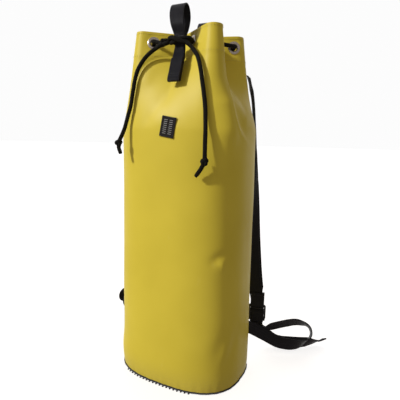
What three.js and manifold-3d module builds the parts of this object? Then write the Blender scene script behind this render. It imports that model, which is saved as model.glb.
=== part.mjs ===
// A tall drawcord kit bag with shoulder straps, in millimetres.
// +Z is up, the front is -Y, and the origin is at the middle of the base, on the floor.
import * as THREE from "three";
import { mergeVertices } from "three/addons/utils/BufferGeometryUtils.js";
import Module from "manifold-3d";

const wasm = await Module();
wasm.setup();

// Driving dimensions.
const HEIGHT = 600; // floor to rim, at the ridges of the gathered mouth
const BASE = { halfWidth: 118, halfDepth: 89, power: 2.7 }; // superellipse plan of the base
const TOP_SCALE = 0.974; // plan size at the mouth's height, before it is gathered
const WALL = 2.0; // tarpaulin wall
const HEM = { bottom: 556, thickness: 1.4 }; // facing inside the rim
const GAP = 0.3; // clearance between pieces that touch
const GATHER_FROM = 440; // height where the drawcord starts to pull the wall in
// Centres of the arcs that round the gathered rim's four lobes, and of those in its four valleys.
const LOBE = { x: 64, y: 42.5, radius: 14 };
const VALLEY = { x: 31, y: 27, radius: 7 };
const RIM_DIP = 3; // how much lower the rim is in its valleys
const RIDGE_POWER = 1.1; // how the ridges lean in over the gathered height
const EYELET = { drop: 19, outer: 10.5, hole: 5.5, barrel: 6.4 };
const CORD_RADIUS = 3.3;
const WEBBING = { width: 25, thickness: 2 };
const STRAP = { width: 34, thickness: 4.5, endWidth: 26 };
const BINDING_HEIGHT = 3;
const AROUND = 64; // wall stations around the bag

// Colours and finishes.
const YELLOW = new THREE.MeshStandardMaterial({ color: 0xd0bc3c, roughness: 0.42, metalness: 0 });
const BLACK_WEB = new THREE.MeshStandardMaterial({ color: 0x15161c, roughness: 0.7, metalness: 0 });
const BLACK_CORD = new THREE.MeshStandardMaterial({ color: 0x17150f, roughness: 0.8, metalness: 0 });
const BLACK_PLASTIC = new THREE.MeshStandardMaterial({ color: 0x101012, roughness: 0.45, metalness: 0 });
const GREY_BASE = new THREE.MeshStandardMaterial({ color: 0x4a4c4c, roughness: 0.8, metalness: 0 });
const NICKEL = new THREE.MeshStandardMaterial({ color: 0xb9ab94, roughness: 0.3, metalness: 1 });

const bag = new THREE.Group();
const UP = new THREE.Vector3(0, 0, 1);

function point(x, y, z) {
  return new THREE.Vector3(x, y, z);
}

function add(name, geometry, material) {
  const mesh = new THREE.Mesh(geometry, material);
  mesh.name = name;
  bag.add(mesh);
  return mesh;
}

// ---- closed meshes and cuts ----

function turnedOut(geometry) {
  const place = geometry.getAttribute("position");
  const index = geometry.getIndex();
  const [a, b, c] = [point(), point(), point()];
  let volume = 0;
  for (let i = 0; i < index.count; i += 3) {
    a.fromBufferAttribute(place, index.getX(i));
    b.fromBufferAttribute(place, index.getX(i + 1));
    c.fromBufferAttribute(place, index.getX(i + 2));
    volume += a.dot(b.cross(c));
  }
  if (volume < 0) {
    for (let i = 0; i < index.count; i += 3) {
      const first = index.getX(i);
      index.setX(i, index.getX(i + 1));
      index.setX(i + 1, first);
    }
  }
  return geometry;
}

// Rings of points joined in order. A closed loft joins its last ring to its first. An open one has even
// rings, and each cap is a strip between the ring's first half and its second, so it may be a bent shape.
// Each four-sided patch is split along its shorter diagonal, so that nested walls stay parallel.
function loft(rings, closed) {
  const count = rings[0].length;
  const index = [];
  const last = closed ? rings.length : rings.length - 1;
  for (let i = 0; i < last; i++) {
    const [low, high] = [i * count, ((i + 1) % rings.length) * count];
    const [ring, above] = [rings[i], rings[(i + 1) % rings.length]];
    for (let k = 0; k < count; k++) {
      const next = (k + 1) % count;
      if (ring[k].distanceTo(above[next]) < ring[next].distanceTo(above[k])) {
        index.push(low + k, low + next, high + next, low + k, high + next, high + k);
      } else {
        index.push(low + k, low + next, high + k, low + next, high + next, high + k);
      }
    }
  }
  if (!closed) {
    const top = (rings.length - 1) * count;
    for (let k = 0; k < count / 2 - 1; k++) {
      const [next, across, end] = [k + 1, count - 2 - k, count - 1 - k];
      index.push(k, across, next, k, end, across);
      index.push(top + k, top + next, top + across, top + k, top + across, top + end);
    }
  }
  const geometry = new THREE.BufferGeometry().setFromPoints(rings.flat());
  geometry.setIndex(index);
  return turnedOut(geometry);
}

function bare(geometry) {
  const copy = geometry.clone();
  copy.deleteAttribute("normal");
  copy.deleteAttribute("uv");
  return mergeVertices(copy, 1e-4);
}

function solid(geometry) {
  const merged = bare(geometry);
  const vertProperties = new Float32Array(merged.getAttribute("position").array);
  const triVerts = new Uint32Array(merged.getIndex().array);
  return new wasm.Manifold(new wasm.Mesh({ numProp: 3, vertProperties, triVerts }));
}

function fromSolid(shape) {
  const mesh = shape.getMesh();
  const geometry = new THREE.BufferGeometry();
  geometry.setAttribute("position", new THREE.BufferAttribute(new Float32Array(mesh.vertProperties), 3));
  geometry.setIndex(new THREE.BufferAttribute(new Uint32Array(mesh.triVerts), 1));
  return geometry;
}

// ---- the wall: a superellipse tube whose top is gathered into four lobes ----

function superellipse() {
  const points = [];
  for (let i = 0; i <= 360; i++) {
    const turn = (i / 360) * 2 * Math.PI - Math.PI / 2;
    const [c, s] = [Math.cos(turn), Math.sin(turn)];
    const x = BASE.halfWidth * Math.sign(c) * Math.abs(c) ** (2 / BASE.power);
    const y = BASE.halfDepth * Math.sign(s) * Math.abs(s) ** (2 / BASE.power);
    points.push(new THREE.Vector2(x, y));
  }
  return new THREE.Path(points);
}

// The gathered rim: a belt that runs outside the four lobes' circles and inside the four valleys' circles.
function star() {
  const lobe = (x, y) => ({ at: new THREE.Vector2(x * LOBE.x, y * LOBE.y), bend: LOBE.radius });
  const valley = (x, y) => ({ at: new THREE.Vector2(x * VALLEY.x, y * VALLEY.y), bend: -VALLEY.radius });
  const circles = [
    valley(0, -1), lobe(1, -1), valley(1, 0), lobe(1, 1), valley(0, 1), lobe(-1, 1), valley(-1, 0), lobe(-1, -1),
  ];
  const headings = circles.map(({ at, bend }, i) => {
    const next = circles[(i + 1) % circles.length];
    const way = next.at.clone().sub(at);
    return Math.atan2(way.y, way.x) - Math.asin((next.bend - bend) / way.length());
  });
  const path = new THREE.Path();
  circles.forEach(({ at, bend }, i) => {
    const [into, out] = [headings.at(i - 1), headings[i]].map((heading) => heading - (Math.sign(bend) * Math.PI) / 2);
    path.absarc(at.x, at.y, Math.abs(bend), into, out, bend < 0);
  });
  path.closePath();
  return path;
}

const LOWER = superellipse();
const UPPER = star();
const MOUTH_GIRTH = UPPER.getLength();
const LOWER_GIRTH = LOWER.getLength();
// The star's path starts just before the front valley, so its stations are counted from the valley itself.
const FRONT_SHIFT = UPPER.curves[0].getLength() / 2 / MOUTH_GIRTH;
const RIDGE_AT = 0.132; // share of the girth from the front valley to the next ridge

function wrap(share) {
  return share - Math.floor(share);
}

function ridgeness(share) {
  const fromValley = Math.abs(wrap(share * 2 + 0.5) - 0.5) / 2;
  const part = fromValley < RIDGE_AT ? fromValley / RIDGE_AT : (0.25 - fromValley) / (0.25 - RIDGE_AT);
  return Math.sin((part * Math.PI) / 2) ** 2;
}

function midWall(share, z) {
  const low = LOWER.getPoint(wrap(share));
  const high = UPPER.getPoint(wrap(share + FRONT_SHIFT));
  const gathered = Math.min(Math.max((z - GATHER_FROM) / (HEIGHT - GATHER_FROM), 0), 1);
  const ridge = ridgeness(share);
  const sink = THREE.MathUtils.smoothstep(gathered, 0, 1);
  const pull = THREE.MathUtils.lerp(sink, gathered ** RIDGE_POWER, ridge);
  const taper = THREE.MathUtils.lerp(1, TOP_SCALE, z / HEIGHT);
  const dip = RIM_DIP * (1 - ridge) * gathered ** 4;
  return point(
    THREE.MathUtils.lerp(low.x * taper, high.x, pull),
    THREE.MathUtils.lerp(low.y * taper, high.y, pull),
    z - dip,
  );
}

function wallNormal(share, z) {
  const step = 0.002;
  const along = midWall(share + step, z).sub(midWall(share - step, z));
  const up = midWall(share, z + 2).sub(midWall(share, z - 2));
  return along.cross(up).normalize();
}

// A point on the outside of the wall, moved out along the plan's normal by `out`.
function wallPoint(share, z, out) {
  const normal = wallNormal(share, z).setZ(0).normalize();
  return midWall(share, z).addScaledVector(normal, out);
}

function wallRing(z, out) {
  return Array.from({ length: AROUND }, (_, k) => wallPoint(k / AROUND, z, out));
}

function tube(levels, inner, outer) {
  const rings = levels.map((z) => wallRing(z, outer));
  const back = [...levels].reverse().map((z) => wallRing(z, inner));
  return loft([...rings, ...back], true);
}

// A thin patch that follows the wall between two of its stations.
function wallPatch(first, last, levels, inner, outer) {
  const shares = Array.from({ length: last - first + 1 }, (_, k) => (first + k) / AROUND);
  const rings = levels.map((z) => [
    ...shares.map((s) => wallPoint(s, z, outer)),
    ...[...shares].reverse().map((s) => wallPoint(s, z, inner)),
  ]);
  return loft(rings, false);
}

// ---- eyelets ----

const FACING = { outer: -WALL - GAP, inner: -WALL - GAP - HEM.thickness };
const WASHER = { outer: FACING.inner - GAP, thickness: 1 };

// Each eyelet is placed by its distance along the rim from the nearest valley.
const EYELETS = [
  ["front_left", 0, -49],
  ["front_right", 0, 28],
  ["right_front", 0.25, -27],
  ["right_rear", 0.25, 49],
  ["back_right", 0.5, -38],
  ["back_left", 0.5, 38],
  ["left_rear", 0.75, -49],
  ["left_front", 0.75, 27],
].map(([name, valley, distance]) => {
  const share = valley + distance / MOUTH_GIRTH;
  const z = HEIGHT - EYELET.drop;
  return { name, at: midWall(share, z), normal: wallNormal(share, z) };
});

function turned(profile, segments) {
  return new THREE.LatheGeometry(profile.map(([r, h]) => new THREE.Vector2(r, h)), segments);
}

function grommet() {
  const { outer, hole, barrel } = EYELET;
  const lip = WASHER.outer - WASHER.thickness - GAP;
  return turned([
    [hole, lip - 0.8],
    [barrel + 1.2, lip - 0.8],
    [barrel + 1.2, lip],
    [barrel, lip],
    [barrel, GAP],
    [outer, GAP],
    [outer, GAP + 0.6],
    [outer - 0.8, GAP + 1.2],
    [hole + 0.7, GAP + 1.2],
    [hole, GAP + 0.6],
    [hole, lip - 0.8],
  ], 12);
}

function washer() {
  const low = WASHER.outer - WASHER.thickness;
  const inner = EYELET.barrel + GAP;
  return turned([
    [inner, low],
    [EYELET.outer, low],
    [EYELET.outer, WASHER.outer],
    [inner, WASHER.outer],
    [inner, low],
  ], 12);
}

// A round room for the barrel, and a wider seat from `seat` towards `end` for a flange.
function eyeletRoom({ at, normal }, seat, end) {
  const turn = new THREE.Quaternion().setFromUnitVectors(point(0, 1, 0), normal);
  const bore = new THREE.CylinderGeometry(EYELET.barrel + GAP, EYELET.barrel + GAP, 24, 12);
  const face = new THREE.CylinderGeometry(EYELET.outer + GAP, EYELET.outer + GAP, Math.abs(end - seat), 12);
  face.translate(0, (seat + end) / 2, 0);
  const shapes = [bore, face].map((g) => solid(g.applyQuaternion(turn).translate(at.x, at.y, at.z)));
  return shapes[0].add(shapes[1]);
}

function pierced(geometry, seat, end) {
  let shape = solid(geometry);
  for (const eyelet of EYELETS) {
    shape = shape.subtract(eyeletRoom(eyelet, seat, end));
  }
  return fromSolid(shape);
}

function addEyelets() {
  for (const { name, at, normal } of EYELETS) {
    for (const [kind, geometry] of [["eyelet", grommet()], ["washer", washer()]]) {
      const mesh = add(`${kind}_${name}`, geometry, NICKEL);
      mesh.position.copy(at);
      mesh.quaternion.setFromUnitVectors(point(0, 1, 0), normal);
    }
  }
}

// ---- body ----

// Heights of the wall's levels. The hem and the patches start and stop at some of them.
const LEVELS = { middle: 220, shoulder: [GATHER_FROM, 470, 500], patch: 526, rim: 581 };

function addBody() {
  const hem = [HEM.bottom, LEVELS.rim, HEIGHT - 3];
  const levels = [BINDING_HEIGHT + GAP, LEVELS.middle, ...LEVELS.shoulder, LEVELS.patch, ...hem, HEIGHT];
  add("body_panel", pierced(tube(levels, -WALL, 0), 0, 6), YELLOW);
  add("rim_facing", pierced(tube(hem, FACING.inner, FACING.outer), FACING.inner, FACING.inner - 6), YELLOW);
}

function addBase() {
  const binding = [0, BINDING_HEIGHT];
  add("base_binding", tube(binding, -3, 1), GREY_BASE);
  const plate = [0, 3].map((z) => wallRing(z, -3 - GAP));
  add("base_panel", loft(plate, false), GREY_BASE);
}

function addPatches() {
  const [back, rear] = [AROUND / 2, Math.round(AROUND * (0.5 - RIDGE_AT))];
  const seam = [BINDING_HEIGHT + 3, LEVELS.middle, ...LEVELS.shoulder];
  add("back_seam_strip", wallPatch(back - 1, back + 1, seam, GAP, GAP + 0.9), YELLOW);
  add("rear_loop_patch", wallPatch(back - 2, back + 1, [LEVELS.patch, HEM.bottom], GAP, GAP + 1.8), BLACK_WEB);
  const anchor = [541, 562];
  const lower = [46, 76];
  add("strap_anchor_right", wallPatch(rear, rear + 3, anchor, GAP + 0.3, GAP + 2.3), BLACK_WEB);
  add("strap_anchor_left", wallPatch(AROUND - rear - 3, AROUND - rear, anchor, GAP + 0.3, GAP + 2.3), BLACK_WEB);
  add("lower_anchor_right", wallPatch(24, 26, lower, GAP, GAP + 1.8), BLACK_WEB);
  add("lower_anchor_left", wallPatch(AROUND - 26, AROUND - 24, lower, GAP, GAP + 1.8), BLACK_WEB);
}

// ---- badge ----

const BADGE = { width: 26, height: 32, thickness: 1, x: 11, z: 443.5, lean: 9 };

function addBadge() {
  const share = BADGE.x / LOWER_GIRTH;
  const normal = wallNormal(share, BADGE.z);
  const badge = add("badge", new THREE.BoxGeometry(BADGE.width, BADGE.thickness, BADGE.height), BLACK_WEB);
  badge.position.copy(midWall(share, BADGE.z)).addScaledVector(normal, BADGE.thickness / 2 + 2 * GAP);
  const facing = new THREE.Quaternion().setFromUnitVectors(point(0, -1, 0), normal);
  const lean = new THREE.Quaternion().setFromAxisAngle(point(0, 1, 0), THREE.MathUtils.degToRad(BADGE.lean));
  badge.quaternion.copy(facing).multiply(lean);
}

// ---- drawcord ----

const TIE = point(13, -56.5, 577); // where the drawcord holds the front haul loop
const KNOT = point(-14.5, -56, 577);
const REAR_LOOP = point(5, 42.8, 558.5); // the bottom of the rear haul loop, just above its patch
const WRAP = { x: 16.8, y: 7, power: 4 }; // half sizes of the cord's turn around the haul loop

function cordTube(points, steps) {
  const section = new THREE.Shape();
  for (let k = 0; k < 8; k++) {
    const turn = ((k + 0.5) / 8) * 2 * Math.PI;
    const [x, y] = [CORD_RADIUS * Math.cos(turn), CORD_RADIUS * Math.sin(turn)];
    if (k === 0) {
      section.moveTo(x, y);
    } else {
      section.lineTo(x, y);
    }
  }
  section.closePath();
  const extrudePath = new THREE.CatmullRomCurve3(points, false, "centripetal");
  return new THREE.ExtrudeGeometry(section, { steps, extrudePath, bevelEnabled: false, curveSegments: 1 });
}

function through(name, outwards) {
  const { at, normal } = EYELETS.find((eyelet) => eyelet.name === name);
  const [out, inside] = [at.clone().addScaledVector(normal, 7), at.clone().addScaledVector(normal, -9)];
  return outwards ? [inside, at.clone(), out] : [out, at.clone(), inside];
}

function addDrawcord() {
  const right = [
    point(TIE.x - 1, TIE.y + WRAP.y + CORD_RADIUS + GAP + 3, TIE.z),
    ...through("front_right", false),
    ...through("right_front", true),
    ...through("right_rear", false),
    ...through("back_right", true),
    ...through("back_left", false),
    ...through("left_rear", true),
    ...through("left_front", false),
    ...through("front_left", true),
    point(-30, -55.5, TIE.z + 2),
    point(KNOT.x - 8.5, KNOT.y, KNOT.z),
  ];
  add("drawcord", cordTube(right, 72), BLACK_CORD);
  const turn = new THREE.TorusGeometry(10, CORD_RADIUS, 8, 24);
  const place = turn.getAttribute("position");
  for (let i = 0; i < place.count; i++) {
    const angle = Math.atan2(place.getY(i), place.getX(i));
    const radius = Math.hypot(place.getX(i), place.getY(i)) - 10;
    const [c, s] = [Math.cos(angle), Math.sin(angle)];
    place.setX(i, WRAP.x * Math.sign(c) * Math.abs(c) ** (2 / WRAP.power) + c * radius);
    place.setY(i, WRAP.y * Math.sign(s) * Math.abs(s) ** (2 / WRAP.power) + s * radius);
  }
  add("drawcord_turn", turn, BLACK_CORD).position.copy(TIE);
  const knot = new THREE.SphereGeometry(1, 12, 8).scale(7, 6, 6);
  add("drawcord_knot", knot, BLACK_CORD).position.copy(KNOT);
}

const LEFT_END = {
  cord: [
    [-19, -66, 571], [-31, -61, 568.5], [-44, -64, 559], [-53, -68, 547], [-59, -71, 535], [-62, -73.3, 522.5],
    [-63.5, -75.5, 509.5], [-65, -78, 493], [-66, -81, 477], [-70, -84, 459], [-73.5, -87.5, 441],
    [-77, -91.5, 428], [-78.5, -95, 422],
  ],
  knot: [-79, -96.5, 416.5],
  tail: [[-79, -96.5, 416.5], [-78.5, -97, 409], [-74.5, -97, 399]],
};
const RIGHT_END = {
  cord: [
    [33, -64, 569], [40, -64, 562], [51, -69.5, 549.5], [59, -74.2, 531.5], [64, -77, 511.5], [68.3, -78.8, 492.4],
    [71.6, -80.5, 474.7], [74.1, -83.3, 455.6], [75.9, -86, 438], [76.5, -87.5, 419], [77, -88.3, 402],
  ],
  knot: [77, -88.5, 392.5],
  tail: [[77, -88.5, 392.5], [71, -89, 381], [62.5, -89.5, 369.5]],
};

function addCordEnds() {
  for (const [side, end] of [["left", LEFT_END], ["right", RIGHT_END]]) {
    const points = end.cord.map(([x, y, z]) => point(x, y, z));
    const knotAt = point(...end.knot);
    const ball = new THREE.SphereGeometry(6.5, 12, 8).translate(...end.knot);
    const tail = cordTube(end.tail.map(([x, y, z]) => point(x, y, z)), 4);
    const stop = points.at(-1).clone().sub(knotAt).setLength(6.5 + GAP);
    points[points.length - 1] = knotAt.clone().add(stop);
    add(`drawcord_end_${side}`, cordTube(points, 16), BLACK_CORD);
    add(`end_knot_${side}`, fromSolid(solid(ball).add(solid(tail))), BLACK_CORD);
  }
}

// ---- haul loops: webbing bands drawn as a side profile and extruded by the webbing's width ----

function bandProfile(middle, thickness) {
  const curve = new THREE.SplineCurve(middle.map(([y, z]) => new THREE.Vector2(y, z)));
  const steps = (middle.length - 1) * 2;
  const [outside, inside] = [[], []];
  for (let k = 0; k <= steps; k++) {
    const at = curve.getPoint(k / steps);
    const along = curve.getTangent(k / steps);
    const side = new THREE.Vector2(-along.y, along.x).multiplyScalar(thickness / 2);
    outside.push(at.clone().add(side));
    inside.push(at.clone().sub(side));
  }
  return new THREE.Shape([...outside, ...inside.reverse()]);
}

// The profile's plane is YZ, and the band is `width` wide along X.
function extrudedBand(middle, thickness, width) {
  const geometry = new THREE.ExtrudeGeometry(bandProfile(middle, thickness), {
    depth: width,
    bevelEnabled: false,
    curveSegments: 1,
  });
  geometry.translate(0, 0, -width / 2);
  geometry.applyMatrix4(new THREE.Matrix4().set(0, 0, 1, 0, 1, 0, 0, 0, 0, 1, 0, 0, 0, 0, 0, 1));
  return geometry;
}

function addHaulLoops() {
  const front = [
    [-17.6, -59], [-13, -46], [-5.8, -25], [-2.6, -12], [-1.3, -4], [-1.3, 4], [-4, 12], [-10.5, 25], [-12.5, 39],
    [-8.5, 50], [-0.5, 53.5], [6.5, 47.5], [9.3, 35], [6.2, 18], [1.3, 4], [1.3, -4], [0, -12], [-3.2, -25],
    [-10.4, -46], [-15.2, -60], [-17.6, -63.2], [-20.4, -60.5], [-15.6, -46], [-9, -26.5],
  ];
  const tied = extrudedBand(front, WEBBING.thickness, WEBBING.width);
  add("front_haul_loop", tied, BLACK_WEB).position.copy(TIE);
  const rear = [
    [-1.3, -2], [-1.3, 10], [-1.5, 25], [-6, 42], [-8, 54], [-6, 66], [0, 72], [6, 66], [8, 54],
    [6, 42], [1.5, 25], [1.3, 10], [1.3, -2],
  ];
  const sewn = extrudedBand(rear, WEBBING.thickness, WEBBING.width);
  add("rear_haul_loop", sewn, BLACK_WEB).position.copy(REAR_LOOP);
}

// ---- straps and webbing: flat bands swept along a curve ----

// Each station is [x, y, z, width, bearing, tilt]: the width runs across the path, at `bearing` degrees
// from +X in plan and raised by `tilt` degrees.
function sweptBand(stations, thickness, steps) {
  const curve = new THREE.CatmullRomCurve3(stations.map(([x, y, z]) => point(x, y, z)), false, "centripetal");
  const rings = [];
  for (let k = 0; k <= steps; k++) {
    const t = k / steps;
    const place = t * (stations.length - 1);
    const i = Math.min(Math.floor(place), stations.length - 2);
    const [width, bearing, tilt] = [3, 4, 5].map((n) => {
      return THREE.MathUtils.lerp(stations[i][n], stations[i + 1][n], place - i);
    });
    const [b, e] = [bearing, tilt].map(THREE.MathUtils.degToRad);
    const along = curve.getTangent(t);
    const across = point(Math.cos(b) * Math.cos(e), Math.sin(b) * Math.cos(e), Math.sin(e));
    across.addScaledVector(along, -across.dot(along)).setLength(width / 2);
    const out = along.clone().cross(across).setLength(thickness / 2);
    const at = curve.getPoint(t);
    rings.push([[1, 1], [-1, 1], [-1, -1], [1, -1]].map(([a, o]) => {
      return at.clone().addScaledVector(across, a).addScaledVector(out, o);
    }));
  }
  return loft(rings, false);
}

const BUCKLE = { x: 107, y: 103, z: 82, bearing: 15, width: 35, height: 34, thickness: 4 };
// Heights of the buckle's bars and slots from its middle.
const LADDER = { topSlot: [4.5, 13], lowSlot: [-8, 0], slotWidth: 27.5, pivot: 15 };
const SLEEVE = { radius: 4.1, thickness: 1.6, top: 23 };

// The right-hand pieces. The left strap and the left tail mirror them.
const STRAP_STATIONS = [
  [82, 67, 538, STRAP.width, 117, 0],
  [84, 75, 522, STRAP.width, 114, 0],
  [86.5, 82, 500, STRAP.width, 112, 0],
  [89, 88, 460, STRAP.width, 110, 0],
  [91.5, 90, 425, STRAP.width, 110, 0],
  [95, 90, 386, STRAP.width, 106, 0],
  [96, 89, 352, STRAP.width, 95, 0],
  [92, 96.5, 304, STRAP.width, 70, 0],
  [90.6, 100, 246, STRAP.width, 45, 0],
  [93.4, 100, 200, STRAP.width, 28, 0],
  [97.1, 99.7, 165, STRAP.width, 18, 0],
  [101.2, 100.6, 134, STRAP.width, 15, 0],
  [104.5, 102, 120, STRAP.endWidth, 15, 0],
  [106.5, 102.8, 108.5, STRAP.endWidth, 15, 0],
];
const TAIL_STATIONS = [
  [107.9, 99.8, 64.2, 25, 15, 0],
  [107.2, 103, 57, 25, 15, 0],
  [108, 111, 48, 25, 15, 8],
  [114, 121, 36, 25, 15, 30],
  [126, 129, 23, 25, 15, 65],
  [146, 136, 14, 25, -60, 90],
  [166, 143, 13.5, 25, -65, 90],
  [183, 151, 13.5, 25, -68, 85],
  [198, 161, 13.5, 25, -70, 75],
  [209, 170, 12, 25, -72, 50],
  [219, 178, 13, 25, -72, 32],
  [230, 187, 17.5, 25, -72, 27],
];
const RIGHT_ADJUSTER = [
  [93.5, 76, 60, 25, -65, 90],
  [101, 81.5, 57, 25, -65, 90],
  [113, 90.5, 49, 25, -65, 90],
  [130, 102, 37, 25, -65, 90],
  [152, 112, 24.5, 25, -65, 90],
  [174, 120, 21.5, 25, -65, 85],
  [190, 129, 22, 25, -68, 65],
  [200, 138, 26, 25, -70, 40],
  [206.5, 145, 32, 25, -72, 27],
  [208.5, 147, 40, 25, -72, 27],
  [206, 146, 51, 25, -72, 30],
  [199, 143, 59, 25, -70, 38],
  [180, 135, 64.5, 25, -66, 55],
  [165, 128, 62, 25, -65, 60],
  [148, 120, 57, 25, -65, 60],
  [134, 114, 52, 25, -60, 60],
  [122, 106.5, 48, 25, -35, 45],
  [112, 100.2, 51, 25, 0, 18],
  [108.6, 97.9, 58, 25, 15, 0],
  [108.4, 97.6, 64.2, 25, 15, 0],
];
const LEFT_ADJUSTER = [
  [-93.5, 76, 60, 25, -115, 90],
  [-104, 84, 55, 25, -115, 90],
  [-125, 92, 43, 25, -115, 90],
  [-150, 96, 31, 25, -100, 90],
  [-180, 97, 25, 25, -95, 90],
  [-203, 96, 25, 25, -90, 85],
  [-218, 94, 29, 25, -90, 75],
  [-225.5, 93, 39, 25, -90, 68],
  [-224.5, 93, 52, 25, -90, 65],
  [-216, 95, 62, 25, -90, 65],
  [-198, 101, 67, 25, -95, 62],
  [-175, 108, 66, 25, -105, 60],
  [-150, 111, 60, 25, -115, 60],
  [-134, 111, 53, 25, -120, 60],
  [-122, 106.5, 48, 25, -145, 45],
  [-112, 100.2, 51, 25, -180, 18],
  [-108.6, 97.9, 58, 25, -195, 0],
  [-108.4, 97.6, 64.2, 25, -195, 0],
];

const sides = [["right", 1], ["left", -1]];

function mirrored(stations, sign) {
  return stations.map(([x, y, z, width, bearing, tilt]) => {
    return [sign * x, y, z, width, sign > 0 ? bearing : 180 - bearing, tilt];
  });
}

function addStraps() {
  for (const [side, sign] of sides) {
    const strap = sweptBand(mirrored(STRAP_STATIONS, sign), STRAP.thickness, 36);
    const tail = sweptBand(mirrored(TAIL_STATIONS, sign), WEBBING.thickness, 36);
    const adjuster = sweptBand(sign > 0 ? RIGHT_ADJUSTER : LEFT_ADJUSTER, WEBBING.thickness, 56);
    add(`shoulder_strap_${side}`, strap, BLACK_WEB);
    add(`adjuster_webbing_${side}`, adjuster, BLACK_WEB);
    add(`webbing_tail_${side}`, tail, BLACK_WEB);
  }
}

function slot([low, high]) {
  const half = LADDER.slotWidth / 2;
  return new THREE.Path([[-half, low], [-half, high], [half, high], [half, low]].map(([x, y]) => {
    return new THREE.Vector2(x, y);
  }));
}

function buckleFrame() {
  const { width, height, thickness } = BUCKLE;
  const [w, h, r] = [width / 2, height / 2, 2.5];
  const shape = new THREE.Shape();
  shape.moveTo(-w + r, -h);
  shape.lineTo(w - r, -h);
  shape.quadraticCurveTo(w, -h, w, -h + r);
  shape.lineTo(w, h - r);
  shape.quadraticCurveTo(w, h, w - r, h);
  shape.lineTo(-w + r, h);
  shape.quadraticCurveTo(-w, h, -w, h - r);
  shape.lineTo(-w, -h + r);
  shape.quadraticCurveTo(-w, -h, -w + r, -h);
  shape.holes.push(slot(LADDER.topSlot), slot(LADDER.lowSlot));
  const frame = new THREE.ExtrudeGeometry(shape, { depth: thickness, bevelEnabled: false, curveSegments: 3 });
  return frame.translate(0, 0, -thickness / 2).rotateX(Math.PI / 2);
}

// The sleeve of webbing that hangs the buckle from the strap, and the webbing's turn through the slots.
// Both profiles are [outwards, up] from the buckle's middle.
function addBuckles() {
  const { pivot } = LADDER;
  const turn = [210, 240, 270, 300, 330].map((degrees) => {
    const angle = THREE.MathUtils.degToRad(degrees);
    return [SLEEVE.radius * Math.cos(angle), pivot + SLEEVE.radius * Math.sin(angle)];
  });
  const sleeve = [
    [-1.2, SLEEVE.top], [-1.6, 21.5], [-SLEEVE.radius, 17.5], [-SLEEVE.radius, pivot], ...turn,
    [SLEEVE.radius, pivot], [SLEEVE.radius, 17.5], [1.6, 21.5], [1.2, SLEEVE.top],
  ];
  const threaded = [
    [-5.7, -17], [-5.7, -9], [-5.7, 0], [-4, 5], [0, 7.3], [3.6, 5.5], [4, 2], [2.6, -1.8], [0, -4],
    [-2.7, -6.4], [-3.3, -10], [-3.3, -17],
  ];
  for (const [side, sign] of sides) {
    const pieces = [
      [`ladder_buckle_${side}`, buckleFrame(), BLACK_PLASTIC],
      [`strap_sleeve_${side}`, extrudedBand(sleeve, SLEEVE.thickness, WEBBING.width), BLACK_WEB],
      [`webbing_turn_${side}`, extrudedBand(threaded, SLEEVE.thickness, WEBBING.width), BLACK_WEB],
    ];
    for (const [name, geometry, material] of pieces) {
      const mesh = add(name, geometry, material);
      mesh.position.set(sign * BUCKLE.x, BUCKLE.y, BUCKLE.z);
      mesh.rotation.z = THREE.MathUtils.degToRad(sign * BUCKLE.bearing);
    }
  }
}

addBody();
addBase();
addPatches();
addEyelets();
addBadge();
addDrawcord();
addCordEnds();
addHaulLoops();
addStraps();
addBuckles();

export default bag;
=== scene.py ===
import math

import bpy
import numpy as np
from mathutils import Matrix, Vector


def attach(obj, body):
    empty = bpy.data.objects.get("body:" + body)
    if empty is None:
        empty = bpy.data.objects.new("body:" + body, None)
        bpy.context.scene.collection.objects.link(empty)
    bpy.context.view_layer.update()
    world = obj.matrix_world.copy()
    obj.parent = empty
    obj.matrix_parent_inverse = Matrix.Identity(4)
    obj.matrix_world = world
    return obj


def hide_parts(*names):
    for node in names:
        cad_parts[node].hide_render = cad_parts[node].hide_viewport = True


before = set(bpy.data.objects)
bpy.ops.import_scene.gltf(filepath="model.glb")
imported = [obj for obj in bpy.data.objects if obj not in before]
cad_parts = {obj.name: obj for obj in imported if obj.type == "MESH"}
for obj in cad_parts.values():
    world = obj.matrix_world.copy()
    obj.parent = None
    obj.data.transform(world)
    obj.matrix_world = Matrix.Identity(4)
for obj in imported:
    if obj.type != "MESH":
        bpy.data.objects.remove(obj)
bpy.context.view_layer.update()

# Shapes are worked out in millimetres, as the CAD's are, and scaled to metres as each mesh is made.
MM = 0.001

# ---- camera ----

# Fitted to the outline in the photo. The place is in metres, and the lens and sensor in millimetres.
PLAN_TURN = math.radians(29.4)
YAW, PITCH, ROLL = (math.radians(degrees) for degrees in (2.4, 9, 1.4))
CAMERA_AT = (0.3363, -0.5968, 0.425)
LENS, SENSOR, SIDE_SHIFT = 34.2, 36, -0.0095


def linked(name, data):
    """A new object of that data, in the scene."""
    made = bpy.data.objects.new(name, data)
    bpy.context.scene.collection.objects.link(made)
    return made


def camera_axes():
    """Right, up and forward of the camera, in the row frame."""
    across = Vector((math.cos(PLAN_TURN), math.sin(PLAN_TURN), 0))
    away = Vector((-math.sin(PLAN_TURN), math.cos(PLAN_TURN), 0))
    level_right = math.cos(YAW) * across - math.sin(YAW) * away
    level_forward = math.sin(YAW) * across + math.cos(YAW) * away
    up = Vector((0, 0, 1))
    forward = math.cos(PITCH) * level_forward - math.sin(PITCH) * up
    level_up = math.sin(PITCH) * level_forward + math.cos(PITCH) * up
    right = math.cos(ROLL) * level_right + math.sin(ROLL) * level_up
    true_up = -math.sin(ROLL) * level_right + math.cos(ROLL) * level_up
    return right, true_up, forward


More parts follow.
